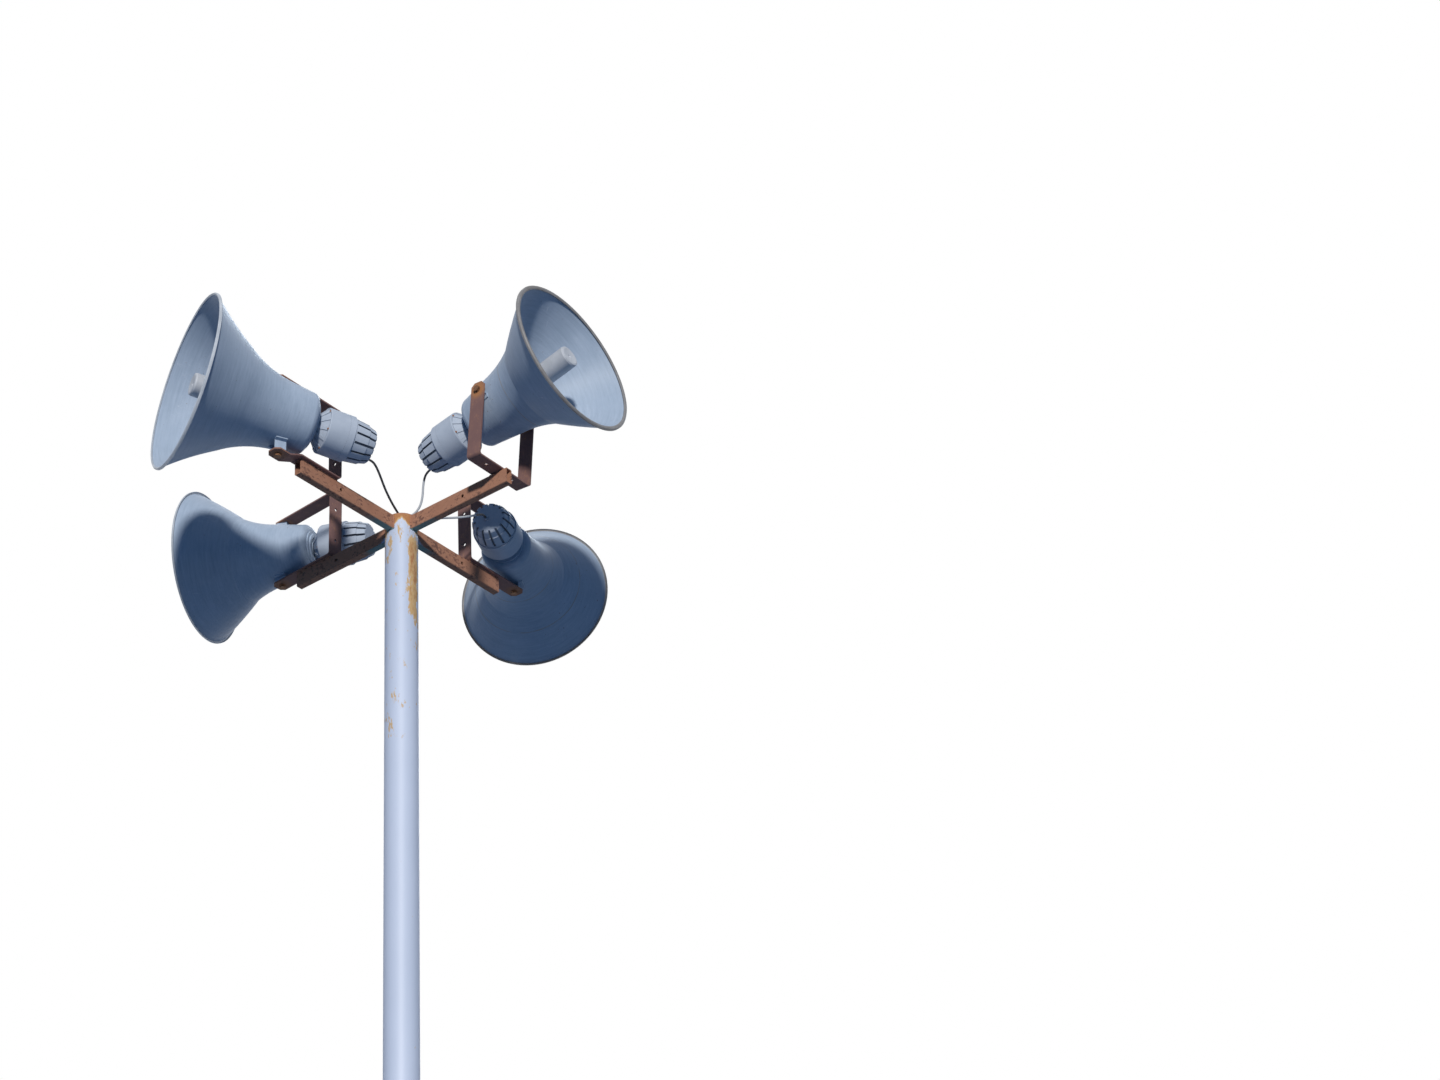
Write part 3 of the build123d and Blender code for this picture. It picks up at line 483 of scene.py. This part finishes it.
# Cone screws: small domed steel screws, long rusted, that hold each driver's front to its magnet. Two
# or three show from below on every cone, near the band.
screw_steel = bpy.data.materials.new("screw_steel")
screw_steel.use_nodes = True
wire = Wire(screw_steel.node_tree)
bsdf = screw_steel.node_tree.nodes["Principled BSDF"]
place = wire.node("ShaderNodeTexCoord", output="Object")
cloud = wire.node("ShaderNodeTexNoise", None, {"Vector": place, "Scale": 260.0, "Detail": 3.0})
tone = wire.node("ShaderNodeMix", {"data_type": "RGBA"},
                 {0: cloud, 6: (0.10, 0.035, 0.015, 1), 7: (0.42, 0.17, 0.06, 1)}, 2)
screw_steel.node_tree.links.new(tone.socket, bsdf.inputs["Base Color"])
bsdf.inputs["Roughness"].default_value = 0.75
screw_count = 6
screw_sides = 14
ring_radius = 0.0660
outward_share = 0.658
forward_share = 0.753
dome = [(0.0, 0.0021), (0.0015, 0.0020), (0.0027, 0.0014), (0.0034, 0.0002), (0.0034, -0.0012)]
for letter, station in (("a", 0.4363), ("b", 0.4243), ("c", 0.4243), ("d", 0.4243)):
    mouth, forward, side, up = horn_axes[letter]
    centre = mouth - forward * station
    vertices = []
    faces = []
    for number in range(screw_count):
        angle = math.radians(360 / screw_count * number)
        outward = up * math.cos(angle) + side * math.sin(angle)
        seat = centre + outward * ring_radius
        axis = (outward * outward_share + forward * forward_share).normalized()
        first_way = axis.orthogonal().normalized()
        second_way = axis.cross(first_way)
        start = len(vertices)
        for radius, height in dome:
            for step in range(screw_sides):
                spin = math.tau * step / screw_sides
                sideways = first_way * math.cos(spin) + second_way * math.sin(spin)
                vertices.append(seat + axis * height + sideways * radius)
        for ring in range(len(dome) - 1):
            for step in range(screw_sides):
                here = start + ring * screw_sides + step
                beside = start + ring * screw_sides + (step + 1) % screw_sides
                faces.append((here, beside, beside + screw_sides, here + screw_sides))
    data = bpy.data.meshes.new(f"cone_screws_{letter}")
    data.from_pydata(vertices, [], faces)
    data.materials.append(screw_steel)
    data.shade_smooth()
    screws = bpy.data.objects.new(f"cone_screws_{letter}", data)
    bpy.context.scene.collection.objects.link(screws)
    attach(screws, f"horn_{letter}")


# Welds: rough hand-laid beads round each arm's root, along the strip where a bracket lies on its arm,
# and across the arm where the fourth one stands. They are steel, brown with rust like the arms.
random.seed(7)
weld_sides = 8
bead_step = 0.0028
drift_reach = 0.0005
root_radius = 0.0030
strip_radius = 0.0026
foot_radius = 0.0028
half_width = 0.0128
foot_edges = (0.3655, 0.4172)
root_line = ((0.0500, 0.0128, -0.002), (0.0495, 0.0132, -0.026), (0.0500, 0.0128, -0.0495),
             (0.0512, 0.0, -0.0505), (0.0500, -0.0128, -0.0495), (0.0495, -0.0132, -0.026),
             (0.0500, -0.0128, -0.002))
runs = []
for heading, arm_end, strip_start in ((-132.3, 0.453, 0.293), (137.2, 0.440, 0.2825),
                                      (47.9, 0.448, 0.296), (-42.3, 0.430, None)):
    turned = math.radians(heading)
    along = Vector((math.cos(turned), math.sin(turned), 0))
    left = Vector((-math.sin(turned), math.cos(turned), 0))
    top = Vector((0, 0, arms_top))
    runs.append((root_radius, [top + along * out + left * aside + Vector((0, 0, height))
                               for out, aside, height in root_line]))
    if strip_start:
        stations = (strip_start + 0.006, strip_start + 0.05, arm_end - 0.05, arm_end - 0.004)
        for way in (1, -1):
            runs.append((strip_radius, [top + along * out + left * half_width * way + Vector((0, 0, -0.0012))
                                        for out in stations]))
    else:
        for out in foot_edges:
            runs.append((foot_radius, [top + along * out + left * aside + Vector((0, 0, 0.0008))
                                       for aside in (-0.011, 0.0, 0.011)]))
vertices = []
faces = []
for radius, corners in runs:
    points = []
    for start, end in zip(corners, corners[1:]):
        steps = max(2, int((end - start).length / bead_step))
        points += [start.lerp(end, step / steps) for step in range(steps)]
    points.append(corners[-1])
    first_vertex = len(vertices)
    last = len(points) - 1
    for number, point in enumerate(points):
        ahead = (points[min(number + 1, last)] - points[max(number - 1, 0)]).normalized()
        first_way = ahead.orthogonal().normalized()
        second_way = ahead.cross(first_way)
        size = radius * random.uniform(0.72, 1.18) * (0.4 if number in (0, last) else 1.0)
        drift = Vector((random.uniform(-1, 1), random.uniform(-1, 1), random.uniform(-1, 1))) * drift_reach
        for step in range(weld_sides):
            spin = math.tau * step / weld_sides
            sideways = first_way * math.cos(spin) + second_way * math.sin(spin)
            vertices.append(point + drift + sideways * size)
    for ring in range(last):
        for step in range(weld_sides):
            here = first_vertex + ring * weld_sides + step
            beside = first_vertex + ring * weld_sides + (step + 1) % weld_sides
            faces.append((here, beside, beside + weld_sides, here + weld_sides))
    faces.append(tuple(first_vertex + step for step in reversed(range(weld_sides))))
    faces.append(tuple(first_vertex + last * weld_sides + step for step in range(weld_sides)))
data = bpy.data.meshes.new("weld_beads")
data.from_pydata(vertices, [], faces)
data.materials.append(arm_steel)
data.shade_smooth()
welds = bpy.data.objects.new("weld_beads", data)
bpy.context.scene.collection.objects.link(welds)
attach(welds, "pole_body")


# Leads: one round sheathed cable from each driver that shows one, slung to the cable entry on the
# cap. One is black, one grey out of a black sleeve, and one grey with a black end at the driver.
lead_radius = 0.0035
lead_sides = 14
all_dark = 9.0
for letter, length, dark_end, route in (
    ("a", 0.255, all_dark, [
        (-0.1009, -0.2411, 5.7677), (-0.0900, -0.2361, 5.7665), (-0.0785, -0.2210, 5.7620),
        (-0.0660, -0.1870, 5.7515), (-0.0480, -0.1240, 5.7340), (-0.0230, -0.0590, 5.7185),
        (-0.0053, -0.0155, 5.7152)]),
    ("b", 0.1966, 0.046, [
        (0.0957, -0.0548, 5.8654), (0.0847, -0.0448, 5.8629), (0.0727, -0.0338, 5.8509),
        (0.0670, -0.0295, 5.8200), (0.0650, -0.0240, 5.7760), (0.0560, -0.0185, 5.7430),
        (0.0370, -0.0105, 5.7210), (0.0161, -0.0041, 5.7154)]),
    ("d", 0.2905, 0.058, [
        (0.2620, 0.1048, 5.7901), (0.2563, 0.0865, 5.7875), (0.2380, 0.0635, 5.7720),
        (0.1900, 0.0420, 5.7470), (0.1180, 0.0290, 5.7360), (0.0560, 0.0140, 5.7220),
        (0.0154, 0.0060, 5.7154)]),
):
    sheath = bpy.data.materials.new(f"lead_sheath_{letter}")
    sheath.use_nodes = True
    wire = Wire(sheath.node_tree)
    bsdf = sheath.node_tree.nodes["Principled BSDF"]
    place = wire.node("ShaderNodeTexCoord", output="Object")
    from_gland = wire.node("ShaderNodeVectorMath", {"operation": "DISTANCE"},
                           {0: place, 1: route[0]}, "Value")
    past_dark_end = wire.node("ShaderNodeMapRange", None,
                              {"Value": from_gland, "From Min": dark_end, "From Max": dark_end + 0.002})
    grime = wire.node("ShaderNodeTexNoise", None, {"Vector": place, "Scale": 150.0, "Detail": 4.0})
    grey = wire.node("ShaderNodeMix", {"data_type": "RGBA"},
                     {0: grime, 6: (0.30, 0.32, 0.35, 1), 7: (0.50, 0.53, 0.57, 1)}, 2)
    black = wire.node("ShaderNodeMix", {"data_type": "RGBA"},
                      {0: grime, 6: (0.010, 0.013, 0.020, 1), 7: (0.035, 0.042, 0.055, 1)}, 2)
    tone = wire.node("ShaderNodeMix", {"data_type": "RGBA"}, {0: past_dark_end, 6: black, 7: grey}, 2)
    sheath.node_tree.links.new(tone.socket, bsdf.inputs["Base Color"])
    bsdf.inputs["Roughness"].default_value = 0.6

    line_data = bpy.data.curves.new(f"lead_line_{letter}", "CURVE")
    line_data.dimensions = "3D"
    line_data.resolution_u = 10
    spline = line_data.splines.new("NURBS")
    spline.points.add(len(route) - 1)
    for point, spot in zip(spline.points, route):
        point.co = (*spot, 1)
    spline.order_u = 3
    spline.use_endpoint_u = True
    line = bpy.data.objects.new(f"lead_line_{letter}", line_data)
    bpy.context.scene.collection.objects.link(line)
    bpy.context.view_layer.update()
    traced = bpy.data.meshes.new_from_object(line)
    path = [vertex.co.copy() for vertex in traced.vertices]
    bpy.data.objects.remove(line)

    vertices = []
    faces = []
    last = len(path) - 1
    first_way = (path[1] - path[0]).orthogonal().normalized()
    for number, point in enumerate(path):
        ahead = (path[min(number + 1, last)] - path[max(number - 1, 0)]).normalized()
        first_way = (first_way - ahead * first_way.dot(ahead)).normalized()
        second_way = ahead.cross(first_way)
        for step in range(lead_sides):
            spin = math.tau * step / lead_sides
            sideways = first_way * math.cos(spin) + second_way * math.sin(spin)
            vertices.append(point + sideways * lead_radius)
    for ring in range(last):
        for step in range(lead_sides):
            here = ring * lead_sides + step
            beside = ring * lead_sides + (step + 1) % lead_sides
            faces.append((here, beside, beside + lead_sides, here + lead_sides))
    faces.append(tuple(reversed(range(lead_sides))))
    faces.append(tuple(last * lead_sides + step for step in range(lead_sides)))
    data = bpy.data.meshes.new(f"lead_cable_{letter}")
    data.from_pydata(vertices, [], faces)
    data.materials.append(sheath)
    data.shade_smooth()
    cable = bpy.data.objects.new(f"lead_cable_{letter}", data)
    bpy.context.scene.collection.objects.link(cable)
    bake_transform(cable)
    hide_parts(f"lead_{letter}")
